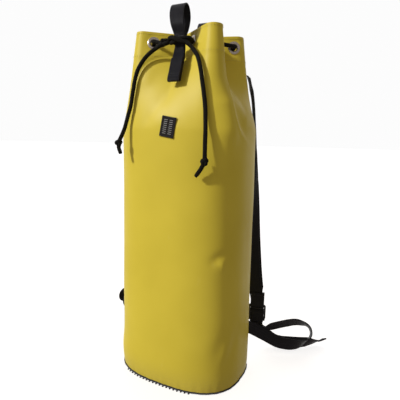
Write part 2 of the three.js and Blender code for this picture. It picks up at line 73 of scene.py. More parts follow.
def add_camera():
    data = bpy.data.cameras.new("camera")
    data.lens, data.sensor_width, data.shift_x = LENS, SENSOR, SIDE_SHIFT
    camera = linked("camera", data)
    right, up, forward = camera_axes()
    turn = Matrix((right, up, -forward)).transposed().to_4x4()
    camera.matrix_world = Matrix.Translation(CAMERA_AT) @ turn
    bpy.context.scene.camera = camera


add_camera()

# ---- meshes ----


def unit(vectors):
    return vectors / np.maximum(np.linalg.norm(vectors, axis=-1, keepdims=True), 1e-12)


def lengths(points):
    """Distance along a line of points, from its first."""
    return np.concatenate([[0], np.cumsum(np.linalg.norm(np.diff(points, axis=0), axis=1))])


def circle(count):
    """That many even angles round a full turn."""
    return np.linspace(0, 2 * math.pi, count + 1)[:-1]


def tangents(points, closed=False):
    if closed:
        return unit(np.roll(points, -1, axis=0) - np.roll(points, 1, axis=0))
    return unit(np.gradient(points, axis=0))


def surface(points, along, across, loop_rows=False, loop_cols=False, caps=False):
    """A grid of points as a mesh: its points, its faces and each face corner's UV in millimetres.
    along and across are the rows' and columns' UV values, with one more value where the grid closes."""
    rows, cols = points.shape[:2]
    r, c = np.meshgrid(
        np.arange(rows if loop_rows else rows - 1), np.arange(cols if loop_cols else cols - 1), indexing="ij"
    )
    r, c = r.ravel(), c.ravel()
    corners = [(r, c), (r, c + 1), (r + 1, c + 1), (r + 1, c)]
    faces = np.stack([(i % rows) * cols + j % cols for i, j in corners], -1)
    uvs = np.stack([np.stack([along[i], across[j]], -1) for i, j in corners], 1)
    faces, uvs = list(map(tuple, faces)), list(uvs)
    if caps:
        ring = points[0][:, [0, 2]]
        faces.append(tuple(reversed(range(cols))))
        uvs.append(ring[::-1])
        faces.append(tuple(range((rows - 1) * cols, rows * cols)))
        uvs.append(ring)
    return points.reshape(-1, 3), faces, uvs


def joined(parts):
    points, faces, uvs, start = [], [], [], 0
    for more_points, more_faces, more_uvs in parts:
        points.append(more_points)
        faces += [tuple(i + start for i in face) for face in more_faces]
        uvs += list(more_uvs)
        start += len(more_points)
    return np.concatenate(points), faces, uvs


def outwards(part):
    """The same closed mesh with its faces turned outwards."""
    points, faces, uvs = part
    volume = 0.0
    for face in faces:
        a, b, c = points[face[0]], points[face[1]], points[face[2]]
        volume += float(np.dot(a, np.cross(b, c)))
        if len(face) == 4:
            d = points[face[3]]
            volume += float(np.dot(a, np.cross(c, d)))
    if volume > 0:
        return part
    return points, [face[::-1] for face in faces], [uv[::-1] for uv in uvs]


def make(name, part, material, body="bag", nodes=()):
    """An object of that mesh. It rides on a CAD body and stands for these CAD nodes."""
    points, faces, uvs = part
    mesh = bpy.data.meshes.new(name)
    mesh.from_pydata(points * MM, [], faces)
    layer = mesh.uv_layers.new(name="UVMap")
    layer.data.foreach_set("uv", np.concatenate(uvs).astype(np.float32).ravel())
    mesh.polygons.foreach_set("use_smooth", [True] * len(mesh.polygons))
    mesh.set_sharp_from_angle(angle=math.radians(50))
    mesh.materials.append(material)
    mesh.validate()
    made = linked(name, mesh)
    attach(made, body)
    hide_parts(*nodes)
    return made


def spline(points, steps, alpha=0.5):
    """A Catmull-Rom curve through the points at steps + 1 even parameters. alpha is 0 for uniform knots."""
    points = np.asarray(points, float)
    padded = np.concatenate([[2 * points[0] - points[1]], points, [2 * points[-1] - points[-2]]])
    places = np.linspace(0, len(points) - 1, steps + 1)
    first = np.minimum(places.astype(int), len(points) - 2)
    t = (places - first)[:, None]
    p0, p1, p2, p3 = (padded[first + k] for k in range(4))
    d0, d1, d2 = (
        np.maximum(np.linalg.norm(b - a, axis=1, keepdims=True), 1e-6) ** alpha
        for a, b in ((p0, p1), (p1, p2), (p2, p3))
    )
    t1 = ((p1 - p0) / d0 - (p2 - p0) / (d0 + d1) + (p2 - p1) / d1) * d1
    t2 = ((p2 - p1) / d1 - (p3 - p1) / (d1 + d2) + (p3 - p2) / d2) * d1
    return p1 + t1 * t + (3 * (p2 - p1) - 2 * t1 - t2) * t**2 + (2 * (p1 - p2) + t1 + t2) * t**3


def tube(path, radius, sides=14, closed=False):
    """A round cord along the path. radius may be one value for each point of it."""
    along = tangents(path, closed)
    side = unit(np.cross(along[0], [0.13, 0.37, 0.92]))
    frames = []
    for direction in along:
        side = unit(side - direction * np.dot(side, direction))
        frames.append((side, np.cross(direction, side)))
    if closed:
        last, start = frames[-1], frames[0]
        turn = math.atan2(np.dot(start[0], last[1]), np.dot(start[0], last[0]))
    angles = circle(sides)
    radii = np.broadcast_to(radius, len(path))
    rings = []
    for k, (a, b) in enumerate(frames):
        twist = turn * k / len(path) if closed else 0
        c, s = np.cos(angles + twist)[:, None], np.sin(angles + twist)[:, None]
        rings.append(path[k] + radii[k] * (c * a + s * b))
    distance = lengths(np.concatenate([path, path[:1]]) if closed else path)
    around = np.linspace(0, 2 * math.pi * float(np.mean(radii)), sides + 1)
    return outwards(surface(np.array(rings), distance, around, closed, True, caps=not closed))


def band_section(width, thickness, edge=0.0, crown=0.0):
    """A flat band's section as (across, out) points. edge thickens its two rims, and crown its middle."""
    half, r = width / 2, thickness / 2
    ends = np.radians([90, 60, 30, 0, -30, -60, -90])
    flat = np.linspace(1, -1, 13)[1:-1] * (half - r * 1.6)
    rim = np.exp(-(((half - np.abs(flat)) / 2.6) ** 2)) * edge
    height = r + rim + crown * (1 - (flat / half) ** 2) ** 0.7
    right = [(half - r + r * math.cos(a), (r + edge) * math.sin(a)) for a in ends[::-1]]
    left = [(-half + r - r * math.cos(a), (r + edge) * math.sin(a)) for a in ends]
    return np.array([*right, *zip(flat, height), *left, *zip(flat[::-1], -height[::-1])])


def sweep(path, across, section, widths=None, closed=False, caps=True):
    """A band along the path, with its section's first axis along `across` at each point."""
    along = tangents(path, closed)
    across = unit(across - along * (across * along).sum(1, keepdims=True))
    out = np.cross(along, across)
    scale = np.ones(len(path)) if widths is None else widths
    rings = (
        path[:, None]
        + section[None, :, :1] * across[:, None] * scale[:, None, None]
        + section[None, :, 1:] * out[:, None]
    )
    around = lengths(np.concatenate([section, section[:1]]))
    distance = lengths(np.concatenate([path, path[:1]]) if closed else path)
    return outwards(surface(rings, distance, around, closed, True, caps=caps and not closed))


def lathe(profile, segments, at, axis):
    """A ring turned from (radius, height) points about an axis through `at`. Its profile closes."""
    axis = unit(np.asarray(axis, float))
    side = unit(np.cross(axis, [0.31, 0.2, 0.93]))
    other = np.cross(axis, side)
    angles = circle(segments)
    radius, height = np.array(profile, float).T
    ring = np.cos(angles)[:, None] * side + np.sin(angles)[:, None] * other
    points = at + radius[None, :, None] * ring[:, None] + height[None, :, None] * axis
    around = np.linspace(0, 2 * math.pi * radius.max(), segments + 1)
    across = lengths(np.array(profile + profile[:1], float))
    return outwards(surface(points, around, across, True, True))


def lump(size, power=2.0, rows=8, cols=10):
    """A rounded block about the origin: a ball at power 2, and squarer above it."""
    v, u = np.meshgrid(np.linspace(-math.pi / 2, math.pi / 2, rows + 1), circle(cols), indexing="ij")

    def bent(value):
        return np.sign(value) * np.abs(value) ** (2 / power)

    level = bent(np.cos(v))
    points = np.stack([level * bent(np.cos(u)), level * bent(np.sin(u)), bent(np.sin(v))], -1)
    points = points * np.array(size) / 2
    height, around = np.linspace(0, size[2], rows + 1), np.linspace(0, 3 * size[0], cols + 1)
    return outwards(surface(points, height, around, False, True))


def placed(part, at, x, y, z):
    """The mesh moved to `at`, with its own axes along x, y and z."""
    points, faces, uvs = part
    return at + points @ np.stack([x, y, z]), faces, uvs


def stitches(line, normals, pitch=3.6, length=2.6, width=0.55, height=0.4, lift=0.1):
    """A row of short threads along a line that lies on a surface with these normals."""
    distance = lengths(line)
    starts = np.arange(pitch / 2, distance[-1], pitch)
    template = lump((length, width, height), 2.6, 4, 6)
    parts = []
    along = tangents(line)
    for start in starts:
        at, way, out = (
            np.array([np.interp(start, distance, column) for column in grid.T])
            for grid in (line, along, normals)
        )
        way, out = unit(way), unit(out)
        side = unit(np.cross(out, way))
        parts.append(placed(template, at + out * lift, way, side, np.cross(way, side)))
    return joined(parts)


# ---- materials ----


def node(tree, kind, values=(), **settings):
    made = tree.nodes.new("ShaderNode" + kind)
    for key, value in settings.items():
        setattr(made, key, value)
    for key, value in dict(values).items():
        if isinstance(value, bpy.types.NodeSocket):
            tree.links.new(value, made.inputs[key])
        else:
            made.inputs[key].default_value = value
    return made


def maths(tree, operation, a, b=0.0):
    return node(tree, "Math", {0: a, 1: b}, operation=operation).outputs[0]


def times(tree, a, b):
    return maths(tree, "MULTIPLY", a, b)


def plus(tree, a, b):
    return maths(tree, "ADD", a, b)


def noise(tree, scale, detail=3.0, roughness=0.55, stretch=(1, 1, 1)):
    """Noise from 0 to 1 that stays with the piece. scale is in repeats to the metre."""
    place = node(tree, "TexCoord").outputs["Object"]
    mapped = node(tree, "Mapping", {"Vector": place, "Scale": stretch}).outputs[0]
    values = {"Vector": mapped, "Scale": scale, "Detail": detail, "Roughness": roughness}
    return node(tree, "TexNoise", values).outputs[0]


def remap(tree, value, low, high, to_low=0.0, to_high=1.0):
    values = {"Value": value, "From Min": low, "From Max": high, "To Min": to_low, "To Max": to_high}
    return node(tree, "MapRange", values, interpolation_type="SMOOTHSTEP").outputs[0]


def blended(tree, factor, a, b, mode="MIX"):
    made = node(tree, "Mix", {0: factor}, data_type="RGBA", blend_type=mode)
    for index, value in ((6, a), (7, b)):
        if isinstance(value, bpy.types.NodeSocket):
            tree.links.new(value, made.inputs[index])
        else:
            made.inputs[index].default_value = (*value, 1)
    return made.outputs[2]


def wave(tree, value, pitch):
    """A sine of a UV value in millimetres, from -1 to 1."""
    return maths(tree, "SINE", times(tree, value, 2 * math.pi / pitch))


def start_material(name, **sockets):
    """A Principled material with these sockets set, its tree, shader, and UV values in millimetres."""
    material = bpy.data.materials.new(name)
    material.use_nodes = True
    tree = material.node_tree
    shader = tree.nodes["Principled BSDF"]
    for socket, value in sockets.items():
        shader.inputs[socket.replace("_", " ")].default_value = value
    uv = node(tree, "SeparateXYZ", {0: node(tree, "UVMap", uv_map="UVMap").outputs[0]})
    return material, tree, shader, uv.outputs[0], uv.outputs[1]


def finish_material(tree, shader, colour, roughness, height, depth):
    """Links the colour, the roughness and a bump whose height of 1 is `depth` metres."""
    bump = node(tree, "Bump", {"Height": height, "Distance": depth, "Strength": 1.0})
    tree.links.new(colour, shader.inputs["Base Color"])
    tree.links.new(roughness, shader.inputs["Roughness"])
    tree.links.new(bump.outputs[0], shader.inputs["Normal"])


def tarpaulin(name, colour, worn):
    """Coated cloth: a smooth plastic face, its scrim just showing, cloudy in colour and scuffed low down."""
    material, tree, shader, u, v = start_material(
        name, Coat_Weight=0.02, Coat_Roughness=0.35, Specular_IOR_Level=0.24, Sheen_Weight=0.0
    )
    scrim = times(tree, wave(tree, u, 1.3), wave(tree, v, 1.3))
    cloud = noise(tree, 9, 2.5)
    fine = noise(tree, 260, 4)
    scuff = remap(tree, noise(tree, 34, 6, 0.7, (1, 1, 0.35)), 0.62, 0.78)
    height = node(tree, "SeparateXYZ", {0: node(tree, "TexCoord").outputs["Object"]}).outputs[2]
    low = remap(tree, height, 0.0, 0.05, 1.0, 0.0)
    base = blended(tree, remap(tree, cloud, 0.3, 0.7), colour, worn)
    base = blended(tree, times(tree, scuff, 0.12), base, (0.78, 0.72, 0.42))
    dirt = times(tree, low, times(tree, fine, 0.3))
    base = blended(tree, dirt, base, (0.3, 0.25, 0.12))
    rough = plus(tree, remap(tree, cloud, 0.2, 0.8, 0.43, 0.52), times(tree, scuff, 0.12))
    relief = plus(tree, times(tree, scrim, 0.3), fine)
    finish_material(tree, shader, base, rough, relief, 0.00006)
    return material


def webbing(name, colour, light, pitch=1.5):
    """Woven nylon tape: ribs across it in a herringbone, a paler thread here and there, and a sheen."""
    material, tree, shader, u, v = start_material(
        name, Sheen_Weight=0.01, Sheen_Roughness=0.4, Specular_IOR_Level=0.3
    )
    zigzag = maths(tree, "PINGPONG", v, pitch * 1.6)
    rib = wave(tree, plus(tree, u, times(tree, zigzag, 0.8)), pitch)
    thread = wave(tree, v, pitch * 0.55)
    weave = plus(tree, times(tree, rib, 0.7), times(tree, thread, 0.3))
    cloud = noise(tree, 60, 4)
    shade = plus(tree, remap(tree, weave, -1, 1, 0.0, 0.6), times(tree, cloud, 0.4))
    base = blended(tree, shade, colour, light)
    rough = remap(tree, plus(tree, weave, cloud), -0.5, 1.5, 0.46, 0.28)
    finish_material(tree, shader, base, rough, weave, 0.00022)
    return material


def braid(name, colour, light, pitch=2.4):
    """A braided cord: strands that cross it both ways, with a soft fibre sheen."""
    material, tree, shader, u, v = start_material(
        name, Sheen_Weight=0.01, Sheen_Roughness=0.5, Specular_IOR_Level=0.15
    )
    lean = times(tree, v, 0.9)
    right = wave(tree, plus(tree, u, lean), pitch)
    left = wave(tree, maths(tree, "SUBTRACT", u, lean), pitch)
    strand = maths(tree, "MAXIMUM", right, left)
    fibre = noise(tree, 900, 2)
    base = blended(tree, remap(tree, times(tree, strand, fibre), -0.4, 0.7), colour, light)
    rough = remap(tree, fibre, 0.2, 0.8, 0.62, 0.85)
    relief = plus(tree, strand, times(tree, fibre, 0.3))
    finish_material(tree, shader, base, rough, relief, 0.00035)
    return material


def woven(name, colour, light, pitch=1.1):
    """A plain coarse weave, faded in cloudy patches."""
    material, tree, shader, u, v = start_material(
        name, Sheen_Weight=0.04, Sheen_Roughness=0.6, Specular_IOR_Level=0.25
    )
    weave = times(tree, wave(tree, u, pitch), wave(tree, v, pitch))
    cloud = noise(tree, 40, 5, 0.65)
    shade = plus(tree, remap(tree, weave, -1, 1, 0, 0.5), times(tree, cloud, 0.5))
    base = blended(tree, shade, colour, light)
    rough = remap(tree, cloud, 0.2, 0.8, 0.65, 0.9)
    finish_material(tree, shader, base, rough, weave, 0.0003)
    return material


def moulded(name, colour):
    """Moulded plastic: a fine spark-eroded texture, rubbed smoother and paler on its edges."""
    material, tree, shader, _, _ = start_material(name, Specular_IOR_Level=0.5)
    grain = noise(tree, 1500, 3)
    cloud = noise(tree, 90, 3)
    edge = remap(tree, node(tree, "NewGeometry").outputs["Pointiness"], 0.5, 0.58)
    base = blended(tree, times(tree, edge, 0.25), colour, (0.12, 0.12, 0.13))
    rough = remap(tree, cloud, 0.2, 0.8, 0.36, 0.5)
    rough = maths(tree, "SUBTRACT", rough, times(tree, edge, 0.08))
    finish_material(tree, shader, base, rough, grain, 0.00006)
    return material


def nickel(name):
    """Plated steel, turned round its hole, with a little tarnish."""
    material, tree, shader, _, _ = start_material(name, Metallic=1.0, Anisotropic=0.4)
    stain = remap(tree, noise(tree, 220, 4, 0.6), 0.45, 0.75)
    turned = noise(tree, 700, 2, 0.5, (1, 1, 6))
    base = blended(tree, times(tree, stain, 0.5), (0.66, 0.61, 0.54), (0.36, 0.29, 0.22))
    rough = plus(tree, remap(tree, turned, 0.3, 0.7, 0.2, 0.32), times(tree, stain, 0.15))
    finish_material(tree, shader, base, rough, turned, 0.00002)
    return material


def thread(name, colour, light):
    """Twisted sewing thread."""
    material, tree, shader, u, v = start_material(name, Sheen_Weight=0.2)
    twist = wave(tree, plus(tree, u, v), 0.5)
    fibre = noise(tree, 1200, 2)
    base = blended(tree, remap(tree, plus(tree, twist, fibre), -1, 1.6), colour, light)
    finish_material(tree, shader, base, remap(tree, fibre, 0.2, 0.8, 0.5, 0.7), twist, 0.00008)
    return material


YELLOW = tarpaulin("yellow_tarpaulin", (0.76, 0.61, 0.058), (0.71, 0.565, 0.05))
YELLOW_INSIDE = tarpaulin("tarpaulin_inside", (0.72, 0.585, 0.085), (0.66, 0.53, 0.08))
TAPE = webbing("black_webbing", (0.0015, 0.0017, 0.0042), (0.006, 0.0065, 0.014))
STRAP_CLOTH = woven("strap_cloth", (0.006, 0.006, 0.008), (0.02, 0.02, 0.024))
CORD = braid("braided_cord", (0.0025, 0.0023, 0.0018), (0.011, 0.01, 0.007))
GREY_CLOTH = woven("base_cloth", (0.035, 0.036, 0.036), (0.075, 0.076, 0.074))
LABEL = woven("badge_cloth", (0.012, 0.011, 0.01), (0.03, 0.028, 0.026), 0.5)
PLASTIC = moulded("black_plastic", (0.012, 0.012, 0.014))
NICKEL = nickel("eyelet_nickel")
YELLOW_THREAD = thread("yellow_thread", (0.5, 0.4, 0.04), (0.72, 0.6, 0.1))
BLACK_THREAD = thread("black_thread", (0.01, 0.01, 0.012), (0.05, 0.05, 0.055))
GREY_THREAD = thread("grey_thread", (0.36, 0.37, 0.35), (0.62, 0.62, 0.6))

# ---- cord routes: the CAD's own points ----

CORD_RADIUS = 3.3
TIE = np.array([13.0, -56.5, 577.0])
KNOT = np.array([-14.5, -56.0, 577.0])
LEFT_END = {
    "cord": [
        (-14, -62, 574), (-19, -66, 571), (-31, -61, 568.5), (-44, -64, 559), (-53, -68, 547),
        (-59, -71, 535),
        (-62, -73.3, 522.5), (-63.5, -75.5, 509.5), (-65, -78, 493), (-66, -81, 477), (-70, -84, 459),
        (-73.5, -87.5, 441), (-77, -91.5, 428), (-78.5, -95, 421), (-79, -96.2, 418.5),
    ],
    "knot": (-79, -96.5, 416.5),
    "tail": [(-79.3, -96.5, 414), (-78.5, -97, 409), (-74.5, -97, 399)],
}
RIGHT_END = {
    "cord": [
        (27, -64.5, 573), (33, -64, 569), (40, -64, 562), (51, -69.5, 549.5), (59, -74.2, 531.5),
        (64, -77, 511.5),
        (68.3, -78.8, 492.4), (71.6, -80.5, 474.7), (74.1, -83.3, 455.6), (75.9, -86, 438),
        (76.5, -87.5, 419),
        (77, -88.3, 402), (77, -88.4, 395.5),
    ],
    "knot": (77, -88.5, 392.5),
    "tail": [(76, -88.5, 390), (71, -89, 381), (62.5, -89.5, 369.5)],
}


def overhand(centre, size, radius, x, y, z):
    """A knot drawn tight: a closed three-lobed run of cord about `centre`."""
    t = circle(72)
    loop = np.stack([np.sin(t) + 2 * np.sin(2 * t), np.cos(t) - 2 * np.cos(2 * t), -1.3 * np.sin(3 * t)], -1)
    loop = loop / 3 * size
    return tube(np.asarray(centre, float) + loop @ np.stack([x, y, z]), radius, 12, closed=True)


def cord_end(side, end):
    """One hanging end of the drawcord, its stopper knot and the short tail below the knot."""
    path = spline(end["cord"], 90)
    hanging = tube(path, CORD_RADIUS)
    cord = make(f"cord_end_{side}", hanging, CORD, nodes=[f"drawcord_end_{side}"])
    tail = spline(end["tail"], 16)
    radii = np.full(len(tail), CORD_RADIUS)
    radii[-3:] = (3.2, 3.0, 2.4)
    axes = np.array([(0.92, 0.3, 0.25), (-0.2, -0.15, 0.97), (0.33, -0.94, -0.08)])
    axes[1] = unit(np.cross(axes[2], axes[0]))
    axes[0] = unit(np.cross(axes[1], axes[2]))
    knot = joined([
        overhand(end["knot"], 3.9, 2.9, *unit(axes)),
        tube(tail, radii),
        tube(spline([end["cord"][-2], end["knot"], end["tail"][1]], 12), CORD_RADIUS),
    ])
    knot = make(f"stopper_knot_{side}", knot, CORD, nodes=[f"end_knot_{side}"])


cord_end("left", LEFT_END)
cord_end("right", RIGHT_END)

# ---- webbing routes: x, y, z, bearing and tilt of the width, as the CAD has them ----

WEBBING = {"width": 25.0, "thickness": 2.0}
TAIL = [
    (107.9, 99.8, 64.2, 15, 0), (107.2, 103, 57, 15, 0), (108, 111, 48, 15, 8), (114, 121, 36, 15, 30),
    (126, 129, 23, 15, 65), (146, 136, 14, -60, 90), (166, 143, 13.5, -65, 90), (183, 151, 13.5, -68, 85),
    (198, 161, 13.5, -70, 75), (209, 170, 12, -72, 50), (219, 178, 13, -72, 32), (230, 187, 17.5, -72, 27),
]
RIGHT_ADJUSTER = [
    (93.5, 76, 60, -65, 90), (101, 81.5, 57, -65, 90), (113, 90.5, 49, -65, 90), (130, 102, 37, -65, 90),
    (152, 112, 24.5, -65, 90), (174, 120, 21.5, -65, 85), (190, 129, 22, -68, 65), (200, 138, 26, -70, 40),
    (206.5, 145, 32, -72, 27), (208.5, 147, 40, -72, 27), (206, 146, 51, -72, 30), (199, 143, 59, -70, 38),
    (180, 135, 64.5, -66, 55), (165, 128, 62, -65, 60), (148, 120, 57, -65, 60), (134, 114, 52, -60, 60),
    (122, 106.5, 48, -35, 45), (112, 100.2, 51, 0, 18), (108.6, 97.9, 58, 15, 0), (108.4, 97.6, 64.2, 15, 0),
]
LEFT_ADJUSTER = [
    (-93.5, 76, 60, -115, 90), (-104, 84, 55, -115, 90), (-125, 92, 43, -115, 90), (-150, 96, 31, -100, 90),
    (-180, 97, 25, -95, 90), (-203, 96, 25, -90, 85), (-218, 94, 29, -90, 75), (-225.5, 93, 39, -90, 68),
    (-224.5, 93, 52, -90, 65), (-216, 95, 62, -90, 65), (-198, 101, 67, -95, 62), (-175, 108, 66, -105, 60),
    (-150, 111, 60, -115, 60), (-134, 111, 53, -120, 60), (-122, 106.5, 48, -145, 45),
    (-112, 100.2, 51, -180, 18),
    (-108.6, 97.9, 58, -195, 0), (-108.4, 97.6, 64.2, -195, 0),
]


def mirrored(stations):
    return [(-x, y, z, 180 - bearing, tilt) for x, y, z, bearing, tilt in stations]


def band_frames(stations, steps):
    """Centre points and width directions along a band's stations."""
    table = np.array(stations, float)
    path = spline(table[:, :3], steps)
    places = np.linspace(0, len(table) - 1, steps + 1)
    bearing, tilt = (np.radians(np.interp(places, np.arange(len(table)), table[:, k])) for k in (3, 4))
    across = np.stack([np.cos(bearing) * np.cos(tilt), np.sin(bearing) * np.cos(tilt), np.sin(tilt)], -1)
    along = tangents(path)
    return path, unit(across - along * (across * along).sum(1, keepdims=True)), along


def tape(name, stations, steps, far_end, nodes):
    """A length of webbing, with its sewn or cut end."""
    path, across, along = band_frames(stations, steps)
    section = band_section(WEBBING["width"], WEBBING["thickness"] - 0.3, edge=0.15)
    out = np.cross(along, across)
    parts = [sweep(path, across, section)]
    if far_end == "bare":
        parts.append(sweep(path[-9:] + out[-9:] * 1.2, across[-9:], band_section(24.4, 1.6)))
        for k in (-8, -3):
            line = path[k] + across[k] * np.linspace(-10, 10, 12)[:, None] + out[k] * 2
            parts.append(stitches(line, np.tile(out[k], (12, 1)), 2.6, 2.0))
    made = make(name, joined(parts), TAPE, nodes=nodes)


tape("adjuster_tape_right", RIGHT_ADJUSTER, 190, "object", ["adjuster_webbing_right"])
tape("adjuster_tape_left", LEFT_ADJUSTER, 170, "object", ["adjuster_webbing_left"])
tape("tail_tape_right", TAIL, 110, "bare", ["webbing_tail_right"])
tape("tail_tape_left", mirrored(TAIL), 110, "bare", ["webbing_tail_left"])

# ---- the wall: the CAD's gathered tube, with the folds that the cloth takes ----

HEIGHT = 600.0
BASE = (118.0, 89.0, 2.7)
TOP_SCALE = 0.974
GATHER_FROM = 440.0
HEM_BOTTOM = 556.0
HEM_ROWS = (559.5, 595.5)
LOBE = (64.0, 42.5, 14.0)
VALLEY = (31.0, 27.0, 7.0)
RIM_DIP = 3.0
RIDGE_AT = 0.132
RIDGE_POWER = 1.1
WALL = 2.0
EYELET = {"drop": 19.0, "outer": 10.5, "hole": 5.5, "barrel": 6.4}
EYELETS = {
    "front_left": (0.0, -49), "front_right": (0.0, 28), "right_front": (0.25, -27), "right_rear": (0.25, 49),
    "back_right": (0.5, -38), "back_left": (0.5, 38), "left_rear": (0.75, -49), "left_front": (0.75, 27),
}


def lower_outline():
    turn = np.linspace(0, 2 * math.pi, 721) - math.pi / 2
    c, s = np.cos(turn), np.sin(turn)
    x = BASE[0] * np.sign(c) * np.abs(c) ** (2 / BASE[2])
    y = BASE[1] * np.sign(s) * np.abs(s) ** (2 / BASE[2])
    return np.stack([x, y], -1)


def upper_outline():
    """A belt outside the lobes' circles and inside the valleys', and half its first arc's length."""
    circles = []
    for x, y in ((0, -1), (1, -1), (1, 0), (1, 1), (0, 1), (-1, 1), (-1, 0), (-1, -1)):
        if x and y:
            circles.append((x * LOBE[0], y * LOBE[1], LOBE[2]))
        else:
            circles.append((x * VALLEY[0], y * VALLEY[1], -VALLEY[2]))
    headings = []
    for (x, y, bend), (next_x, next_y, next_bend) in zip(circles, circles[1:] + circles[:1]):
        way = math.hypot(next_x - x, next_y - y)
        headings.append(math.atan2(next_y - y, next_x - x) - math.asin((next_bend - bend) / way))
    points = []
    for k, (x, y, bend) in enumerate(circles):
        start, end = (headings[i] - math.copysign(math.pi / 2, bend) for i in (k - 1, k))
        turn = (end - start) % (2 * math.pi) if bend > 0 else -((start - end) % (2 * math.pi))
        angles = np.linspace(start, start + turn, 40)
        points.append(np.stack([x + abs(bend) * np.cos(angles), y + abs(bend) * np.sin(angles)], -1))
        if k == 0:
            half_arc = abs(bend * turn) / 2
    return np.concatenate([*points, points[0][:1]]), half_arc


LOWER = lower_outline()
UPPER, HALF_ARC = upper_outline()
LOWER_GIRTH, MOUTH_GIRTH = lengths(LOWER)[-1], lengths(UPPER)[-1]


def along_outline(outline, share):
    distance = np.mod(share, 1) * lengths(outline)[-1]
    return np.stack([np.interp(distance, lengths(outline), column) for column in outline.T], -1)


def smooth_wall(share, z):
    """The wall's outside at a share of the girth from the front middle, and a height, before its folds."""
    share, z = np.broadcast_arrays(np.asarray(share, float), np.asarray(z, float))
    low = along_outline(LOWER, share)
    high = along_outline(UPPER, share + HALF_ARC / MOUTH_GIRTH)
    gathered = np.clip((z - GATHER_FROM) / (HEIGHT - GATHER_FROM), 0, 1)
    from_valley = np.abs(np.mod(share * 2 + 0.5, 1) - 0.5) / 2
    part = np.where(from_valley < RIDGE_AT, from_valley / RIDGE_AT, (0.25 - from_valley) / (0.25 - RIDGE_AT))
    ridge = np.sin(part * math.pi / 2) ** 2
    sink = gathered**2 * (3 - 2 * gathered)
    pull = (sink + (gathered**RIDGE_POWER - sink) * ridge)[..., None]
    taper = (1 + (TOP_SCALE - 1) * z / HEIGHT)[..., None]
    plan = low * taper * (1 - pull) + high * pull
    return np.concatenate([plan, (z - RIM_DIP * (1 - ridge) * gathered**4)[..., None]], -1)


# Folds are drawn on the unrolled wall: x is the distance round from the front middle, and y the height.
DRAWN_GIRTH = 684
RIDGE_CREASE = [(98, 598), (100, 580), (110, 543), (118, 506), (123, 468), (133, 440), (162, 420), (180, 412)]
PANEL_EDGE = [(106, 522), (110, 490), (112, 460), (112, 430), (108, 395), (103, 360)]
# Each has its line, the shares over which it fades in and out, and its ridges across the line as
# (height, distance to the line's left, width).
FOLDS = [
    (
        [
            (-78, 505), (-75, 512), (-70, 528), (-64, 541), (-54, 551), (-44, 557), (-24, 562), (0, 563),
            (34, 561), (48, 556),
        ],
        (0.12, 0.2), [(-1.3, -2.5, 4), (1.9, -20, 15)],
    ),
    (
        [(69, 545), (67, 499), (77, 454), (86, 410), (92, 364), (95, 300)],
        (0.15, 0.4), [(0.4, 0, 13), (-0.3, -24, 14)],
    ),
    ([(4, 512), (-12, 484), (-32, 455), (-45, 430)], (0.3, 0.3), [(-1.1, 0, 11)]),
    ([(86, 219), (96, 232), (108, 237), (125, 230)], (0.4, 0.4), [(-2.0, 4, 8), (2.2, -12, 12)]),
    (
        [(128, 118), (124, 96), (112, 58), (106, 40)],
        (0.4, 0.4), [(0.9, 0, 8), (-1.3, 15, 11), (-0.8, -15, 11)],
    ),
]


def across_line(x, y, line):
    """Distance from a line, positive on its left, and the share of the way along it."""
    line = spline(line, 6 * len(line))
    best = np.full(x.shape, 1e9)
    side, place = np.zeros(x.shape), np.zeros(x.shape)
    total = lengths(line)
    for k, ((ax, ay), (bx, by)) in enumerate(zip(line[:-1], line[1:])):
        dx, dy = bx - ax, by - ay
        t = np.clip(((x - ax) * dx + (y - ay) * dy) / (dx * dx + dy * dy), 0, 1)
        away_x, away_y = x - ax - t * dx, y - ay - t * dy
        distance = np.hypot(away_x, away_y)
        nearer = distance < best
        best = np.where(nearer, distance, best)
        side = np.where(nearer, np.sign(dx * away_y - dy * away_x), side)
        place = np.where(nearer, (total[k] + t * math.hypot(dx, dy)) / total[-1], place)
    return best * np.where(side == 0, 1, side), place


def fade(place, start, end):
    """1 along a line, falling to 0 over its first `start` and last `end` shares."""
    return np.clip(place / start, 0, 1) ** 1.5 * np.clip((1 - place) / end, 0, 1) ** 1.5


def bell(value, width):
    return np.exp(-((value / width) ** 2))


